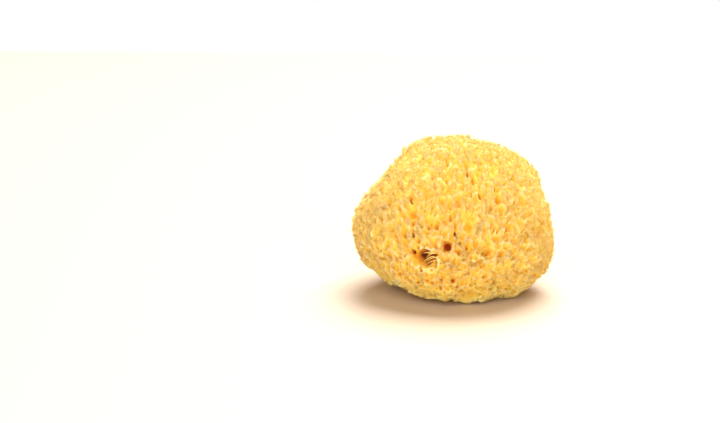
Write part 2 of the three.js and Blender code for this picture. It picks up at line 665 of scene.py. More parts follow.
GAPS = PoreKind(420, (0.4, 1.0), (4.5, 11.0), 0.5)
FOOT_PORES = PoreKind(700, (0.35, 0.9), (2.0, 5.0), 0.5)
CUT_PORES = PoreKind(260, (0.35, 1.1), (1.5, 7.0), 0.4)


@dataclass
class Pores:
    """Lists every hollow: the named vents, the pits between the tufts, the pores and the canals.

    Fields:
        envelope: The body's skin.
        foot: The smoother skin near the cut.
        lowest_pit: The lowest height of a pit's mouth, in millimetres.
        lowest_gap: The lowest height of a gap's mouth, in millimetres.
        pit_margin: How far round a named vent no pit starts, in millimetres.
        missing: The share of the pits that the skin near the cut lacks.
        narrower: How much narrower its pits are.
        shallower: How much shallower its pits are.
        combing: How far neighbouring pits lean out of line together.
        pit_tall: Least and most height of a pit against its width.
        gap_tall: The same for a gap.
        foot_lifts: Least and most lift of the pores near the cut, in degrees.
        cut_radius: How far out the pores in the cut lie, in millimetres.
        seed: The seed of all their chances.
    """

    envelope: Envelope
    foot: Foot
    lowest_pit: float = -1.0
    lowest_gap: float = 9.0
    pit_margin: float = 0.4
    missing: float = 0.72
    narrower: float = 0.35
    shallower: float = 0.65
    combing: float = 0.2
    pit_tall: tuple[float, float] = (0.85, 1.3)
    gap_tall: tuple[float, float] = (0.9, 1.6)
    foot_lifts: tuple[float, float] = (-48.0, -12.0)
    cut_radius: float = 34.0
    seed: int = 23

    def bores(self) -> list[Bore]:
        """Lists them.

        Returns:
            The hollows.
        """
        rng = np.random.default_rng(self.seed)
        found = [*self._vents(), *self._gaps(rng), *self._foot(rng), *self._cut(rng)]
        for kind in (PITS, NICKS):
            found += self._pits(kind, rng)
        return found

    def _pits(self, kind: PitKind, rng: np.random.Generator) -> list[Bore]:
        """The pits of one size.

        Args:
            kind: Their size.
            rng: The source of chance.

        Returns:
            The hollows.
        """
        ways = spread_points(kind.count, kind.jitter, rng)
        mouths = self.envelope.place(ways)
        keep = mouths[:, 2] > self.lowest_pit
        for vent in NAMED_VENTS:
            keep &= vent.clear(ways, vent.radius + self.pit_margin)
        keep &= rng.random(len(ways)) > self.missing * self.foot.share(mouths[:, 0], mouths[:, 2])
        ways, mouths = ways[keep], mouths[keep]
        number = len(ways)
        foot = self.foot.share(mouths[:, 0], mouths[:, 2])
        runs = self.foot.tuft_ways(ways, mouths)
        level, upward = side_axes(runs)
        combed = np.stack([Noise(9, seed, self.combing).at(mouths) for seed in (11, 12)], 1)
        lean = combed + rng.normal(0, kind.lean, (number, 2))
        runs = unit(runs + level * lean[:, :1] + upward * lean[:, 1:])
        facing = (runs * ways).sum(1)
        spacing = MEAN_REACH * math.sqrt(4 * math.pi / kind.count)
        radius = spacing * rng.uniform(*kind.radius, number) * (1 - self.narrower * foot)
        depth = rng.uniform(*kind.depth, number) * (1 - self.shallower * foot)
        tall = facing**0.7 * rng.uniform(*self.pit_tall, number)
        return [Bore(*pit, 0.0, 1.0) for pit in zip(mouths, runs, radius, depth, tall)]

    def _vents(self) -> list[Bore]:
        """The named vents, each running down to the holdfast.

        Returns:
            The hollows.
        """
        found = []
        for vent in NAMED_VENTS:
            mouth = self.envelope.place(vent.way())
            way = grown_ways(vent.way(), mouth, vent.slant)
            found.append(Bore(mouth, way, vent.radius, vent.depth, vent.tall, vent.flare))
        return found

    def _gaps(self, rng: np.random.Generator) -> list[Bore]:
        """The pores between the tufts.

        Args:
            rng: The source of chance.

        Returns:
            The hollows.
        """
        ways = spread_points(GAPS.count, 0.5, rng)
        mouths = self.envelope.place(ways)
        runs = grown_ways(ways, mouths, CANAL_SLANT)
        found = []
        for mouth, run in zip(mouths, runs):
            radius, tall, sunk = draw(rng, GAPS.radius, self.gap_tall, (0.0, 1.0))
            if mouth[2] > self.lowest_gap:
                depth = GAPS.depth[0] + (GAPS.depth[1] - GAPS.depth[0]) * sunk**3
                found.append(Bore(mouth, run, radius, depth, tall, GAPS.flare))
        return found

    def _foot(self, rng: np.random.Generator) -> list[Bore]:
        """The pores in the smoother skin near the cut.

        Args:
            rng: The source of chance.

        Returns:
            The hollows.
        """
        bearing = rng.uniform(-180, 180, FOOT_PORES.count)
        lift = rng.uniform(*self.foot_lifts, FOOT_PORES.count)
        ways = headings(bearing, lift)
        found = []
        for way, mouth in zip(ways, self.envelope.place(ways)):
            radius, depth = draw(rng, FOOT_PORES.radius, FOOT_PORES.depth)
            found.append(Bore(mouth, way, radius, depth, 1.0, FOOT_PORES.flare))
        return found

    def _cut(self, rng: np.random.Generator) -> list[Bore]:
        """The canals and pores that the cut laid open.

        Args:
            rng: The source of chance.

        Returns:
            The hollows.
        """
        down = np.array([0.0, 0.0, -1.0])
        middle = GROWTH_CENTRE * [1, 1, 0]
        found = []
        for x, y, radius, depth in CUT_CANALS:
            found.append(Bore(middle + [x, y, 0], down, radius, depth, 1.0, 0.35))
        for _ in range(CUT_PORES.count):
            out, angle = self.cut_radius * math.sqrt(rng.random()), rng.uniform(0, 2 * math.pi)
            radius, depth = draw(rng, CUT_PORES.radius, CUT_PORES.depth)
            mouth = middle + [out * math.cos(angle), out * math.sin(angle), 0]
            found.append(Bore(mouth, down, radius, depth, 1.0, CUT_PORES.flare))
        return found


@dataclass
class Skeleton:
    """The sponge's springy skeleton, as fields over a grid.

    Fields:
        envelope: How far the tips reach.
        foot: The smoother skin near the cut.
        grid: The voxels.
        bores: The hollows.
        curl_bearing: Where the rim of the cut curls up most, round Z from the front, in degrees.
        curl_rise: How far it curls up there, in millimetres.
        curl_start: How far out from the middle it starts to curl, in millimetres.
        curl_span: How much further out it has curled up by all its rise, in millimetres.
        rim_rise: How far the rim waves up, in millimetres.
        rim_start: How far out from the middle it starts to wave, in millimetres.
        rim_span: How much further out it waves by all its rise, in millimetres.
        clearance: How far the cut stands off the floor, in millimetres.
        top: How deep under the envelope the tufts end on average, in millimetres.
        foot_lumps: How far the skin near the cut rises and falls, in millimetres.
        highest: How far past the envelope the tufts may reach, in millimetres.
        overrun: How far a hollow is cut past its mouth, in millimetres.
        flare_depth: How deep in a hollow's mouth narrows to its radius, in millimetres.
        ragged: How uneven a hollow's wall is, as a share of its radius.
        air_reaches: How far out the air round a voxel is counted, near and wide, in millimetres.
        depth: How deep each voxel is under the envelope, in millimetres.
        shape: The distance to the skin, negative inside, in millimetres.
        openness: The share of the space round each voxel that is air.
    """

    envelope: Envelope
    foot: Foot
    grid: VoxelGrid
    bores: list[Bore]
    curl_bearing: float = -46.0
    curl_rise: float = 3.8
    curl_start: float = 11.0
    curl_span: float = 18.0
    rim_rise: float = 2.2
    rim_start: float = 20.0
    rim_span: float = 8.0
    clearance: float = 0.04
    top: float = 0.6
    foot_lumps: float = 1.4
    highest: float = 1.4
    overrun: float = 3.0
    flare_depth: float = 5.0
    ragged: float = 0.3
    air_reaches: tuple[float, float] = (1.0, 2.6)
    depth: np.ndarray = field(init=False)
    shape: np.ndarray = field(init=False)
    openness: np.ndarray = field(init=False)

    def __post_init__(self) -> None:
        """Works out the fields."""
        self.depth = self._depth()
        self.shape = np.maximum(self._top() - self.depth, self._underside())
        rough = Noise(2.4, 31, self.ragged).on(self.grid.axes)
        for bore in self.bores:
            self._cut(bore, rough)
        air = (self.shape > 0).astype(np.float32)
        near, wide = (self.grid.blurred(air, reach) for reach in self.air_reaches)
        self.openness = 0.5 * near + 0.5 * wide
        LOG.info("skeleton: %s voxels, %d hollows", self.grid.shape, len(self.bores))

    def _depth(self) -> np.ndarray:
        """How far each voxel is under the envelope, taken slab by slab.

        Returns:
            Depths in millimetres.
        """
        depth = np.empty(self.grid.shape, np.float32)
        x, y, z = (axis - middle for axis, middle in zip(self.grid.axes, GROWTH_CENTRE.astype(np.float32)))
        slab = 24
        for first in range(0, self.grid.shape[0], slab):
            part = slice(first, first + slab)
            radius = np.sqrt(x[part] ** 2 + y**2 + z**2)
            safe = np.maximum(radius, 1e-3)
            ways = np.stack(np.broadcast_arrays(x[part] / safe, y / safe, z / safe), -1)
            depth[part] = self.envelope.along(ways) - radius
        return depth

    def _top(self) -> np.ndarray:
        """How far under the envelope the tufts end.

        Returns:
            Depths in millimetres.
        """
        top = np.full(self.grid.shape, self.top, np.float32)
        for noise in (Noise(6.5, 21, 0.9), Noise(12, 24, 0.7), Noise(2.3, 22, 0.35)):
            top += noise.on(self.grid.axes)
        foot = self.foot.share(self.grid.axes[0], self.grid.axes[2])
        top += self.foot_lumps * foot * Noise(8, 23).on(self.grid.axes)
        return np.maximum(top, -self.highest, out=top)

    def _underside(self) -> np.ndarray:
        """How far each voxel is under the cut, whose rim curls up from the floor.

        Returns:
            Distances in millimetres, on one level of voxels after another.
        """
        x, y, z = self.grid.axes
        x, y = x - GROWTH_CENTRE[0], y - GROWTH_CENTRE[1]
        curl = headings(np.array(self.curl_bearing), np.array(0.0))
        beyond = np.clip((x * curl[0] + y * curl[1] - self.curl_start) / self.curl_span, 0, 1.3)
        rim = np.clip((np.sqrt(x * x + y * y) - self.rim_start) / self.rim_span, 0, 1)
        wavy = Noise(7, 61).on([self.grid.axes[0], self.grid.axes[1], self.grid.axes[2][:, :, :1]])
        lift = self.curl_rise * beyond**1.2 * (1 + 0.5 * wavy)
        lift = lift + self.rim_rise * rim * np.clip(wavy - 0.1, 0, 1)
        return (lift + self.clearance - z).astype(np.float32)

    def _cut(self, bore: Bore, rough: np.ndarray) -> None:
        """Cuts one hollow out.

        Args:
            bore: The hollow.
            rough: How uneven its wall is at each voxel, as a share of its radius.
        """
        way = bore.way
        level, upward = (axis[0] for axis in side_axes(way[None]))
        ends = np.stack([bore.mouth + way * self.overrun, bore.mouth - way * bore.depth])
        pad = bore.radius * max(bore.tall, 1) * (1.2 + bore.flare) + 0.5
        window, places = self.grid.window(ends.min(0) - pad, ends.max(0) + pad)
        a, b, c = (place - start for place, start in zip(places, bore.mouth.astype(np.float32)))
        along = a * way[0] + b * way[1] + c * way[2]
        across = a * level[0] + b * level[1] + c * level[2]
        up = (a * upward[0] + b * upward[1] + c * upward[2]) / bore.tall
        mouth = np.clip(1 + along / self.flare_depth, 0, 1)
        sunk = np.clip(-along / bore.depth, 0, 1) ** bore.taper
        radius = bore.radius * (1 + bore.flare * mouth**2 + rough[window]) * np.sqrt(1 - sunk)
        gap = radius - np.sqrt(across**2 + up**2)
        np.maximum(self.shape[window], gap.astype(np.float32), out=self.shape[window])

    def skin(self) -> tuple[np.ndarray, list[np.ndarray]]:
        """The closed skin.

        Returns:
            Vertices in millimetres, and arrays of faces.
        """
        volume = openvdb.FloatGrid(1.0)
        volume.copyFromArray(np.clip(self.shape, -1, 1))
        volume.transform = openvdb.createLinearTransform(voxelSize=self.grid.pitch)
        points, triangles, quads = volume.convertToPolygons(0.0, 0.0)
        return points + self.grid.low, [triangles[:, ::-1], quads[:, ::-1]]


@dataclass(frozen=True)
class Colouring:
    """Works out the two values that the finish reads at every vertex.

    Both values carry painted shade. The shade is painted shade: darker and more orange where
    the skin is closed in by fibre and deep in the hollows, paler on open crests, with a random
    tone over it. The vividness is lower on the duller skin near the cut, varies at random, and
    drops in a painted shadow deep in the wide front hollow.

    Fields:
        skeleton: The grown skeleton.
        foot: The smoother, duller skin near the cut.
        hollow_shadow: The middle of the painted shadow in the wide front hollow, in millimetres.
        middling: The painted shade of plain skin, half open to the air.
        opening: How much paler, as painted light, it is for the share of air round it.
        lit: The depth from which a hollow is painted darker and redder, in millimetres.
        depth_shading: How much darker, as painted shade, it is for each millimetre below that.
        deep: The depth at which a hollow's painted shade is darkest, in millimetres.
        foot_dulls: How much vividness the skin near the cut lacks.
        shadow_reach: How far the painted shadow reaches, in millimetres.
        shadow_fade: How softly it fades out: at 1 from its middle, at 2 from half its reach.
        shadow_from: The depth at which the painted shadow is full, in millimetres.
        shadow_dulls: How much vividness the painted shadow takes.
        shadow_darkens: How much darker the painted shadow makes the shade.
        dark_root: How much darker a loose fibre's root is than the painted shade of the skin there.
        pale_tip: How much paler its tip is, painted as if more in the light.
    """

    skeleton: Skeleton
    foot: Foot
    hollow_shadow: np.ndarray
    middling: float = 0.66
    opening: float = 1.15
    lit: float = 5.0
    depth_shading: float = 0.12
    deep: float = 11.0
    foot_dulls: float = 0.85
    shadow_reach: float = 8.5
    shadow_fade: float = 1.6
    shadow_from: float = 3.0
    shadow_dulls: float = 1.1
    shadow_darkens: float = 0.3
    dark_root: float = 0.06
    pale_tip: float = 0.3

    def values(self, points: np.ndarray) -> dict[str, np.ndarray]:
        """The values at some places.

        Args:
            points: Places in millimetres, one row each.

        Returns:
            A list of numbers for each attribute.
        """
        grid = self.skeleton.grid
        depth = np.clip(grid.sample(self.skeleton.depth, points), 0, self.deep)
        openness = grid.sample(self.skeleton.openness, points)
        # Painted shade: paler where the skin is open to the air, darker and redder deep in hollows; the
        # noise is a random tone.
        shade = self.middling + self.opening * (openness - 0.5)
        shade -= self.depth_shading * np.maximum(depth - self.lit, 0)
        shade += Noise(4, 42, 0.04).at(points) + Noise(9, 43, 0.05).at(points)
        foot = self.foot.share(points[:, 0], points[:, 2])
        vividness = 1 - self.foot_dulls * foot + Noise(5, 41, 0.15).at(points)
        # Painted shadow deep in the wide front hollow: the colour is duller and darker there.
        shadowed = np.linalg.norm(points - self.hollow_shadow, axis=1) / self.shadow_reach
        shadowed = np.clip(self.shadow_fade - self.shadow_fade * shadowed, 0, 1)
        shadowed = shadowed * np.clip(depth / self.shadow_from, 0, 1)
        vividness -= self.shadow_dulls * shadowed
        shade -= self.shadow_darkens * shadowed
        return {"shade": np.clip(shade, 0, 1), "vividness": np.clip(vividness, 0, 1)}

    def along(self, paths: np.ndarray, sides: int) -> dict[str, np.ndarray]:
        """The values along loose fibres: those at their roots, paler towards the tips.

        Args:
            paths: The fibres' middle lines, as tapered_tubes takes them.
            sides: Sides round a fibre.

        Returns:
            A list of numbers for each attribute, in the order of the tubes' vertices.
        """
        places = paths.shape[1]
        # Painted shade: the root takes the painted shade of the skin there, and the tip is painted paler,
        # as if more in the light.
        paler = np.linspace(-self.dark_root, self.pale_tip, places)
        paler = np.repeat(paler, [sides] * (places - 1) + [1])
        root = self.values(paths[:, 0])
        shade = np.clip(root["shade"][:, None] + paler, 0, 1)
        return {"shade": shade.ravel(), "vividness": np.repeat(root["vividness"], len(paler))}


@dataclass(frozen=True)
class SpongeFibre:
    """The finish of the bare spongin fibre, pale at the tips and deep orange in the pits.

    Its pale tips and deep orange pits are painted light and shade, read from the shade value.

    Fields:
        vivid: Colours along the shade value, from the painted shade of the deepest pit to the
            paler open tips, for the vivid skin away from the cut, as (place, red, green, blue), linear.
        dull: The same for the duller skin near the cut, and for the painted shadow in the wide
            front hollow.
        roughness: How matt it is.
        glow: How much light passes under the surface.
        glow_reach: How far red, green and blue light passes, in metres.
        sheen: The soft light on its fuzz.
        gloss: How strongly its surface reflects.
        painted_translucence: How much of the blue the fibre holds back, from 0 to 1, and of the
            green a fifth as much: a warmer colour painted in for light passing through thin fibres.
        name: Its name.
    """

    vivid: tuple[tuple[float, float, float, float], ...] = (
        (0.00, 0.40, 0.060, 0.006),
        (0.20, 0.80, 0.300, 0.014),
        (0.42, 0.90, 0.525, 0.040),
        (0.70, 0.93, 0.636, 0.115),
        (1.00, 0.94, 0.730, 0.380),
    )
    dull: tuple[tuple[float, float, float, float], ...] = (
        (0.00, 0.24, 0.050, 0.008),
        (0.20, 0.52, 0.210, 0.016),
        (0.42, 0.76, 0.410, 0.042),
        (0.70, 0.86, 0.570, 0.105),
        (1.00, 0.90, 0.700, 0.280),
    )
    roughness: float = 0.85
    glow: float = 0.8
    glow_reach: tuple[float, float, float] = (0.0040, 0.0028, 0.0009)
    sheen: float = 0.1
    gloss: float = 0.2
    painted_translucence: float = 0.0
    name: str = SLOT

    def material(self) -> bpy.types.Material:
        """Builds the finish.

        Returns:
            The material.
        """
        made = bpy.data.materials.new(self.name)
        made.use_nodes = True
        tree = made.node_tree
        skin = tree.nodes["Principled BSDF"]
        skin.inputs["Roughness"].default_value = self.roughness
        skin.inputs["Subsurface Weight"].default_value = self.glow
        furthest = self.glow_reach[0]
        skin.inputs["Subsurface Radius"].default_value = [reach / furthest for reach in self.glow_reach]
        skin.inputs["Subsurface Scale"].default_value = furthest
        skin.inputs["Sheen Weight"].default_value = self.sheen
        skin.inputs["Sheen Roughness"].default_value = 0.5
        skin.inputs["Sheen Tint"].default_value = (1.0, 0.9, 0.65, 1.0)
        skin.inputs["Specular IOR Level"].default_value = self.gloss
        # The colour follows the shade value, which carries painted shade, and the vividness, which carries
        # a painted shadow.
        shade = self._attribute(tree, "shade")
        mix = tree.nodes.new("ShaderNodeMix")
        mix.data_type = "RGBA"
        tree.links.new(self._attribute(tree, "vividness"), mix.inputs["Factor"])
        tree.links.new(self._ramp(tree, self.dull, shade), mix.inputs["A"])
        tree.links.new(self._ramp(tree, self.vivid, shade), mix.inputs["B"])
        tree.links.new(mix.outputs["Result"], skin.inputs["Base Color"])
        return made

    def _attribute(self, tree: bpy.types.NodeTree, name: str) -> bpy.types.NodeSocket:
        """Reads a value that the mesh carries at each vertex.

        Args:
            tree: The material's nodes.
            name: The value's name.

        Returns:
            The socket that gives it.
        """
        node = tree.nodes.new("ShaderNodeAttribute")
        node.attribute_name = name
        return node.outputs["Fac"]

    def _ramp(
        self,
        tree: bpy.types.NodeTree,
        stops: tuple[tuple[float, float, float, float], ...],
        value: bpy.types.NodeSocket,
    ) -> bpy.types.NodeSocket:
        """Spreads colours along a value.

        Args:
            tree: The material's nodes.
            stops: The colours, each with its place.
            value: The socket that gives the value.

        Returns:
            The socket that gives the colour.
        """
        node = tree.nodes.new("ShaderNodeValToRGB")
        elements = node.color_ramp.elements
        while len(elements) < len(stops):
            elements.new(0.5)
        for element, (place, red, green, blue) in zip(elements, stops):
            element.position = place
            # The painted translucence warms the colour in place of light that passes through thin fibres.
            element.color = (red, green * (1 - 0.2 * self.painted_translucence), blue * (1 - self.painted_translucence), 1.0)
        tree.links.new(value, node.inputs["Fac"])
        return node.outputs["Color"]


@dataclass(frozen=True)
class SoftBox:
    """A square soft light that faces the sponge.

    Fields:
        name: Its name.
        place: Its middle, in metres.
        side: Its side, in metres.
        power: Its power, in watts.
        colour: Its colour, linear.
    """

    name: str
    place: tuple[float, float, float]
    side: float
    power: float
    colour: tuple[float, float, float]

    def hang(self, target: Vector) -> None:
        """Hangs the light.

        Args:
            target: What it faces, in metres.
        """
        light = bpy.data.lights.new(self.name, "AREA")
        light.shape = "SQUARE"
        light.size = self.side
        light.energy = self.power
        light.color = self.colour
        lamp = bpy.data.objects.new(self.name, light)
        lamp.location = self.place
        lamp.rotation_euler = (target - Vector(self.place)).to_track_quat("-Z", "Y").to_euler()
        bpy.context.scene.collection.objects.link(lamp)


@dataclass
class Studio:
    """The pale floor, the soft lights and the camera.

    Fields:
        middle: The middle of the sponge, in metres.
        boxes: The soft lights: a wide one high behind, and a low one in front.
        room: The colour of the room's own light, linear.
        room_power: Its strength.
        paint: The floor's colour, linear: a tan that paints the shadow under the sponge warm, in place of
            light bounced through it; lit, the floor still looks white.
        floor_half: Half the floor's side, in metres.
        camera_lift: How far the camera looks down, in degrees.
        camera_away: Its distance, in metres.
        lens: Its focal length, in millimetres.
        aside: How far left of the middle it aims, in metres.
        above: How far above the middle it aims, in metres.
    """

    middle: Vector
    boxes: tuple[SoftBox, ...] = (
        SoftBox("key", (0.35, 0.85, 2.3), 2.0, 158, (0.99, 0.99, 1.0)),
        SoftBox("front", (-0.1, -1.5, 0.7), 2.0, 35, (0.99, 0.98, 0.96)),
    )
    room: tuple[float, float, float] = (1.0, 0.82, 0.52)
    room_power: float = 0.19
    # The floor is tan, so that the shadow under the sponge is painted warm, standing in for light bounced
    # through it; where lit it still looks white.
    paint: tuple[float, float, float] = (0.64, 0.52, 0.40)
    floor_half: float = 0.8
    camera_lift: float = 14.0
    camera_away: float = 0.9
    lens: float = 86.4
    aside: float = 0.0487
    above: float = 0.0002

    def build_camera(self) -> None:
        """Sets up the camera, which looks along +Y and a little down, past the left side."""
        lift = math.radians(self.camera_lift)
        back = Vector((0, -math.cos(lift), math.sin(lift)))
        camera = bpy.data.objects.new("camera", bpy.data.cameras.new("camera"))
        camera.data.lens = self.lens
        camera.data.clip_end = 20
        camera.location = self.middle + back * self.camera_away
        up = Vector((0, math.sin(lift), math.cos(lift)))
        aim = self.middle - Vector((self.aside, 0, 0)) + up * self.above
        camera.rotation_euler = (aim - camera.location).to_track_quat("-Z", "Y").to_euler()
        bpy.context.scene.collection.objects.link(camera)
        bpy.context.scene.camera = camera

    def build_lights(self) -> None:
        """Hangs the soft boxes and sets the room, which glows warmly but looks white."""
        for box in self.boxes:
            box.hang(self.middle)
        world = bpy.data.worlds.new("room")
        world.use_nodes = True
        tree = world.node_tree
        glow = tree.nodes["Background"]
        glow.inputs["Color"].default_value = (*self.room, 1)
        glow.inputs["Strength"].default_value = self.room_power
        seen = tree.nodes.new("ShaderNodeBackground")
        seen.inputs["Color"].default_value = (1, 1, 1, 1)
        mix = tree.nodes.new("ShaderNodeMixShader")
        rays = tree.nodes.new("ShaderNodeLightPath")
        tree.links.new(rays.outputs["Is Camera Ray"], mix.inputs["Fac"])
        tree.links.new(glow.outputs["Background"], mix.inputs[1])
        tree.links.new(seen.outputs["Background"], mix.inputs[2])
        tree.links.new(mix.outputs["Shader"], tree.nodes["World Output"].inputs["Surface"])
        bpy.context.scene.world = world
        bpy.context.scene.view_settings.view_transform = "Standard"

    def build_floor(self) -> None:
        """Lays the floor."""
        half = self.floor_half
        corners = [(-half, -half, 0), (half, -half, 0), (half, half, 0), (-half, half, 0)]
        mesh = bpy.data.meshes.new("floor")
        mesh.from_pydata(corners, [], [(0, 1, 2, 3)])
        paint = bpy.data.materials.new("floor_paint")
        paint.use_nodes = True
        skin = paint.node_tree.nodes["Principled BSDF"]
        skin.inputs["Base Color"].default_value = (*self.paint, 1)
        skin.inputs["Roughness"].default_value = 0.6
        mesh.materials.append(paint)
        floor = bpy.data.objects.new("floor", mesh)
        bpy.context.scene.collection.objects.link(floor)
        floor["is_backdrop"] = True


def tapered_tubes(paths: np.ndarray, radii: np.ndarray, sides: int) -> tuple[np.ndarray, list[np.ndarray]]:
    """Makes closed tubes, each ending in a point.

    Args:
        paths: Each tube's middle line, root first, in millimetres: tubes, places, 3.
        radii: Each tube's radius at all its places but the last, in millimetres.
        sides: Sides round a tube.

    Returns:
        Vertices in millimetres, and arrays of faces.
    """
    number, places = paths.shape[:2]
    level, upward = side_axes(unit(paths[:, -1] - paths[:, 0]))
    points = []
    for place in range(places - 1):
        for side in range(sides):
            angle = side * 2 * math.pi / sides
            out = level * math.cos(angle) + upward * math.sin(angle)
            points.append(paths[:, place] + out * radii[:, place : place + 1])
    points.append(paths[:, -1])
    each = len(points)
    first = np.arange(number) * each
    quads, triangles = [], []
    for side in range(sides):
        after = (side + 1) % sides
        for ring in range(places - 2):
            a, b = ring * sides + side, ring * sides + after
            quads.append(np.stack([first + a, first + b, first + b + sides, first + a + sides], 1))
        last = (places - 2) * sides
        triangles.append(np.stack([first + last + side, first + last + after, first + each - 1], 1))
    for side in range(1, sides - 1):
        triangles.append(np.stack([first, first + side + 1, first + side], 1))
    return np.stack(points, 1).reshape(-1, 3), [np.concatenate(quads), np.concatenate(triangles)]


@dataclass
class Nap:
    """The loose fibres that fray the tufts' crests.

    Fields:
        body: The skeleton's mesh, which they grow from.
        skeleton: The skeleton.
        foot: The smoother skin near the cut.
        count: How many there are, before those over vents are left out.
        radius: A fibre's radius at its root, in millimetres.
        length: Least and most length of a fibre, in millimetres.
        shorter: How much shorter it is in the skin near the cut.
        rarer: How much rarer it is there.
        crest: The share of air round the skin from which fibres grow.
        crest_span: How much more air there is where they grow closest.
        standing: How far a fibre stands up from the skin.
        clumping: How far it leans with its neighbours.
        straying: How far it leans by itself.
        bend: How far it bends over its length, against its length.
        lowest: The lowest that it reaches, in millimetres.
        seed: The seed of all its chances.
        PLACES: Places along a fibre, from 0 to 1.
        SIDES: Sides round a fibre.
    """

    body: bpy.types.Mesh
    skeleton: Skeleton
    foot: Foot
    count: int = 76_000
    radius: float = 0.11
    length: tuple[float, float] = (0.8, 2.6)
    shorter: float = 0.6
    rarer: float = 0.8
    crest: float = 0.46
    crest_span: float = 0.27
    standing: float = 0.4
    clumping: float = 0.5
    straying: float = 0.16
    bend: float = 0.25
    lowest: float = 0.2
    seed: int = 19
    PLACES: ClassVar[tuple[float, ...]] = (0.0, 0.55, 1.0)
    SIDES: ClassVar[int] = 3

    def paths(self) -> tuple[np.ndarray, np.ndarray]:
        """Lays every fibre out from the skin's crests, along the way that the tufts grow.

        Returns:
            The fibres' middle lines and radii, as tapered_tubes takes them.
        """
        rng = np.random.default_rng(self.seed)
        start, normal = self._roots(rng)
        ways = unit(start - GROWTH_CENTRE)
        foot = self.foot.share(start[:, :1], start[:, 2:])
        run = self.foot.tuft_ways(ways, start)
        clump = np.stack([Noise(2.6, seed, self.clumping).at(start) for seed in (51, 52, 53)], 1)
        run = unit(run + self.standing * normal + clump + rng.normal(0, self.straying, start.shape))
        level, upward = side_axes(run)
        bend = rng.normal(0, self.bend, (len(start), 2))
        bend = level * bend[:, :1] + upward * bend[:, 1:]
        length = rng.uniform(*self.length, len(start))[:, None] * (1 - self.shorter * foot)
        radius = self.radius * rng.uniform(0.7, 1.3, len(start))
        paths = [start + run * length * share + bend * length * share**2 for share in self.PLACES]
        radii = [radius * (1 - 0.6 * share) for share in self.PLACES[:-1]]
        paths, radii = np.stack(paths, 1), np.stack(radii, 1)
        clear = paths[:, :, 2].min(1) > self.lowest
        for vent in (*LARGE_VENTS, *SMALL_VENTS):
            clear &= vent.clear(ways, 1.1 * vent.radius + 0.5)
        return paths[clear], radii[clear]

    def _roots(self, rng: np.random.Generator) -> tuple[np.ndarray, np.ndarray]:
        """Picks places on the skin, mostly on its crests.

        Args:
            rng: The source of chance.

        Returns:
            Their places in millimetres, and the skin's normals there.
        """
        self.body.calc_loop_triangles()
        number = len(self.body.loop_triangles)
        corners = np.empty(number * 3, np.int32)
        self.body.loop_triangles.foreach_get("vertices", corners)
        corner = places_of(self.body)[corners.reshape(-1, 3)]
        cross = np.cross(corner[:, 1] - corner[:, 0], corner[:, 2] - corner[:, 0])
        middle = corner.mean(1)
        openness = self.skeleton.grid.sample(self.skeleton.openness, middle)
        weight = np.linalg.norm(cross, axis=1)
        weight *= np.clip((openness - self.crest) / self.crest_span, 0, 1) ** 1.5
        weight *= 1 - self.rarer * self.foot.share(middle[:, 0], middle[:, 2])
        chosen = rng.choice(number, self.count, p=weight / weight.sum())
        share = rng.random((self.count, 2))
        share = np.where(share.sum(1, keepdims=True) > 1, 1 - share, share)
        first, second, third = (corner[chosen, i] for i in range(3))
        place = first + (second - first) * share[:, :1] + (third - first) * share[:, 1:]
        return place, unit(cross[chosen])


@dataclass
class Lashes:
    """The long curved fibres that hang over the wide hollow in the front.

    Fields:
        envelope: The body's skin.
        count: How many.
        bearing: Least and most bearing of their roots, in degrees.
        lift: Least and most lift of their roots, in degrees.
        rooted: How deep their roots lie under the skin, in millimetres.
        standing: How far they stand out from the skin.
        length: Least and most length, in millimetres.
        sag: Least and most sag, as a share of the length.
        radius: Least and most radius at the root, in millimetres.
        seed: The seed of all their chances.
        PLACES: Places along a fibre, from 0 to 1.
        SIDES: Sides round a fibre.
    """

    envelope: Envelope
    count: int = 10
    bearing: tuple[float, float] = (-12.0, -7.5)
    lift: tuple[float, float] = (-13.0, -1.0)
    rooted: tuple[float, float] = (0.8, 2.4)
    standing: tuple[float, float] = (0.1, 0.7)
    length: tuple[float, float] = (3.6, 7.0)
    sag: tuple[float, float] = (0.25, 0.7)
    radius: tuple[float, float] = (0.24, 0.4)
    seed: int = 29
    PLACES: ClassVar[tuple[float, ...]] = (0.0, 0.2, 0.4, 0.6, 0.8, 1.0)
    SIDES: ClassVar[int] = 6

    def paths(self) -> tuple[np.ndarray, np.ndarray]:
        """Lays the fibres out from the hollow's right rim, arching to the left.

        Returns:
            The fibres' middle lines and radii, as tapered_tubes takes them.
        """
        rng = np.random.default_rng(self.seed)
        bearing = rng.uniform(*self.bearing, self.count)
        lift = rng.uniform(*self.lift, self.count)
        ways = headings(bearing, lift)
        start = self.envelope.place(ways) - ways * rng.uniform(*self.rooted, self.count)[:, None]
        leftwards = np.array([-1.0, 0.0, 0.35])
        up = np.array([0.0, 0.0, 1.0])
        run = unit(leftwards + ways * rng.uniform(*self.standing, self.count)[:, None])
        length = rng.uniform(*self.length, self.count)[:, None]
        sag = rng.uniform(*self.sag, self.count)[:, None]
        paths = [start + run * length * share - up * sag * length * share**2 for share in self.PLACES]
        radius = rng.uniform(*self.radius, self.count)
        radii = [radius * (1 - 0.7 * share) for share in self.PLACES[:-1]]
        return np.stack(paths, 1), np.stack(radii, 1)


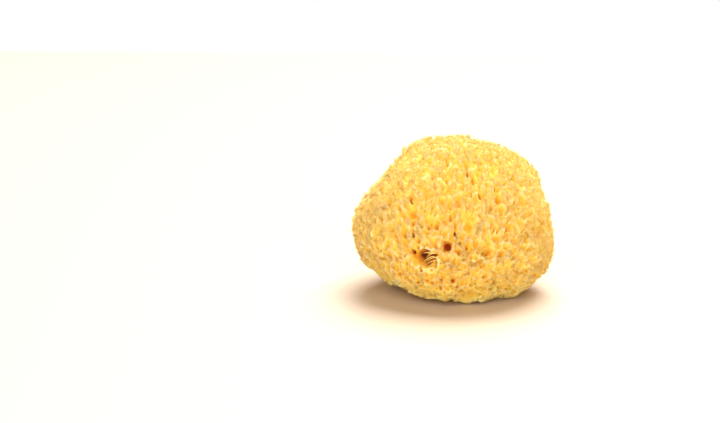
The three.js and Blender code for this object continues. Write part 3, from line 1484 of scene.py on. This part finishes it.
def mesh_of(name: str, points: np.ndarray, faces: list[np.ndarray]) -> bpy.types.Mesh:
    """Makes a mesh from arrays.

    Args:
        name: Its name.
        points: Its vertices, in millimetres.
        faces: Arrays of its faces, each array with one number of corners.

    Returns:
        The mesh.
    """
    mesh = bpy.data.meshes.new(name)
    faces = [array for array in faces if len(array)]
    corners = np.concatenate([array.ravel() for array in faces]).astype(np.int32)
    sizes = np.concatenate([np.full(len(array), array.shape[1]) for array in faces]).astype(np.int32)
    starts = np.concatenate([[0], np.cumsum(sizes)[:-1]]).astype(np.int32)
    mesh.vertices.add(len(points))
    mesh.vertices.foreach_set("co", (points * MM).astype(np.float32).ravel())
    mesh.loops.add(len(corners))
    mesh.loops.foreach_set("vertex_index", corners)
    mesh.polygons.add(len(sizes))
    mesh.polygons.foreach_set("loop_start", starts)
    mesh.polygons.foreach_set("loop_total", sizes)
    mesh.update(calc_edges=True)
    mesh.validate()
    return mesh


def thinned(mesh: bpy.types.Mesh, most: int) -> bpy.types.Mesh:
    """Thins a mesh out, flattest places first.

    Args:
        mesh: The mesh, which is used up.
        most: The most triangles that are left.

    Returns:
        The thinned mesh.
    """
    mesh.calc_loop_triangles()
    name = mesh.name
    holder = bpy.data.objects.new(name, mesh)
    bpy.context.scene.collection.objects.link(holder)
    thin = holder.modifiers.new("thin", "DECIMATE")
    thin.ratio = min(1.0, most / len(mesh.loop_triangles))
    thin.use_collapse_triangulate = True
    done = bpy.data.meshes.new_from_object(holder.evaluated_get(bpy.context.evaluated_depsgraph_get()))
    bpy.data.objects.remove(holder)
    bpy.data.meshes.remove(mesh)
    done.name = name
    return done


def places_of(mesh: bpy.types.Mesh) -> np.ndarray:
    """The places of a mesh's vertices.

    Args:
        mesh: The mesh.

    Returns:
        Places in millimetres, one row each.
    """
    flat = np.empty(len(mesh.vertices) * 3, np.float32)
    mesh.vertices.foreach_get("co", flat)
    return flat.reshape(-1, 3) / MM


def add_piece(mesh: bpy.types.Mesh, values: dict[str, np.ndarray], finish: bpy.types.Material) -> None:
    """Puts a mesh on the body as a finished piece.

    Its UV map places each vertex by its own two values, since its colours follow from those two alone.

    Args:
        mesh: The mesh, under its piece's name.
        values: A number per vertex for each attribute.
        finish: Its material.
    """
    mesh.shade_smooth()
    for label, numbers in values.items():
        mesh.attributes.new(label, "FLOAT", "POINT").data.foreach_set("value", numbers.astype(np.float32))
    corners = np.empty(len(mesh.loops), np.int32)
    mesh.loops.foreach_get("vertex_index", corners)
    spread = np.stack([values["shade"], values["vividness"]], 1).astype(np.float32)[corners]
    mesh.uv_layers.new(name="OFBake").data.foreach_set("uv", spread.ravel())
    mesh.materials.clear()
    mesh.materials.append(finish)
    piece = bpy.data.objects.new(mesh.name, mesh)
    bpy.context.scene.collection.objects.link(piece)
    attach(piece, BODY)
    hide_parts(NODE)
    mesh.calc_loop_triangles()
    LOG.info("%s: %d triangles", mesh.name, len(mesh.loop_triangles))


@dataclass
class Sponge:
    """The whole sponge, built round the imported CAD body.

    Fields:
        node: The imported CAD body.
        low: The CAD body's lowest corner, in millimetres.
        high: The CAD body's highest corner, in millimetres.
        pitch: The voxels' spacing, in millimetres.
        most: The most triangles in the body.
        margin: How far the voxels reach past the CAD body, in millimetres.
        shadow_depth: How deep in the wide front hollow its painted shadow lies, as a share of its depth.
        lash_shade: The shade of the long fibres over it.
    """

    node: bpy.types.Object
    low: np.ndarray
    high: np.ndarray
    pitch: float = 0.34
    most: int = 196_000
    margin: float = 2.0
    shadow_depth: float = 0.7
    lash_shade: float = 0.95

    def build(self) -> None:
        """Grows it and adds all its pieces."""
        envelope = Envelope(self.node)
        foot = Foot()
        grid = VoxelGrid(self.low - self.margin, self.high + self.margin, self.pitch)
        skeleton = Skeleton(envelope, foot, grid, Pores(envelope, foot).bores())
        # The middle of the painted shadow, deep in the wide front hollow.
        hollow = SHADED_VENT.way()
        hollow_shadow = envelope.place(hollow) - hollow * self.shadow_depth * SHADED_VENT.depth
        colouring = Colouring(skeleton, foot, hollow_shadow)
        finish = SpongeFibre().material()
        # The loose fibres get a warmer colour painted in for the light that passes through them.
        loose = SpongeFibre(glow=0.0, sheen=0.0, gloss=0.0, painted_translucence=0.45, name="loose_fibre").material()
        whole = mesh_of("body", *skeleton.skin())
        LOG.info("skin: %d faces", len(whole.polygons))
        body = thinned(whole, self.most)
        paths, radii = Nap(body, skeleton, foot).paths()
        add_piece(body, colouring.values(places_of(body)), finish)
        homes = Zone.of(paths[:, 0])
        for index, zone in enumerate(Zone):
            here = homes == index
            nap = mesh_of(f"nap_{zone.name.lower()}", *tapered_tubes(paths[here], radii[here], Nap.SIDES))
            add_piece(nap, colouring.along(paths[here], Nap.SIDES), loose)
        lashes = mesh_of("lashes", *tapered_tubes(*Lashes(envelope).paths(), Lashes.SIDES))
        pale = np.ones(len(lashes.vertices))
        add_piece(lashes, {"shade": pale * self.lash_shade, "vividness": pale}, loose)


def main() -> None:
    """Builds the studio and the sponge."""
    logging.basicConfig(level=logging.INFO, format="%(relativeCreated)d %(message)s")
    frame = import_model()
    low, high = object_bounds()
    low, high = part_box(NODE)
    studio = Studio((low + high) / 2)
    studio.build_camera()
    studio.build_lights()
    studio.build_floor()
    Sponge(frame["nodes"][NODE], np.array(low) / MM, np.array(high) / MM).build()
    low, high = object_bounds()


if __name__ == "__main__":
    main()
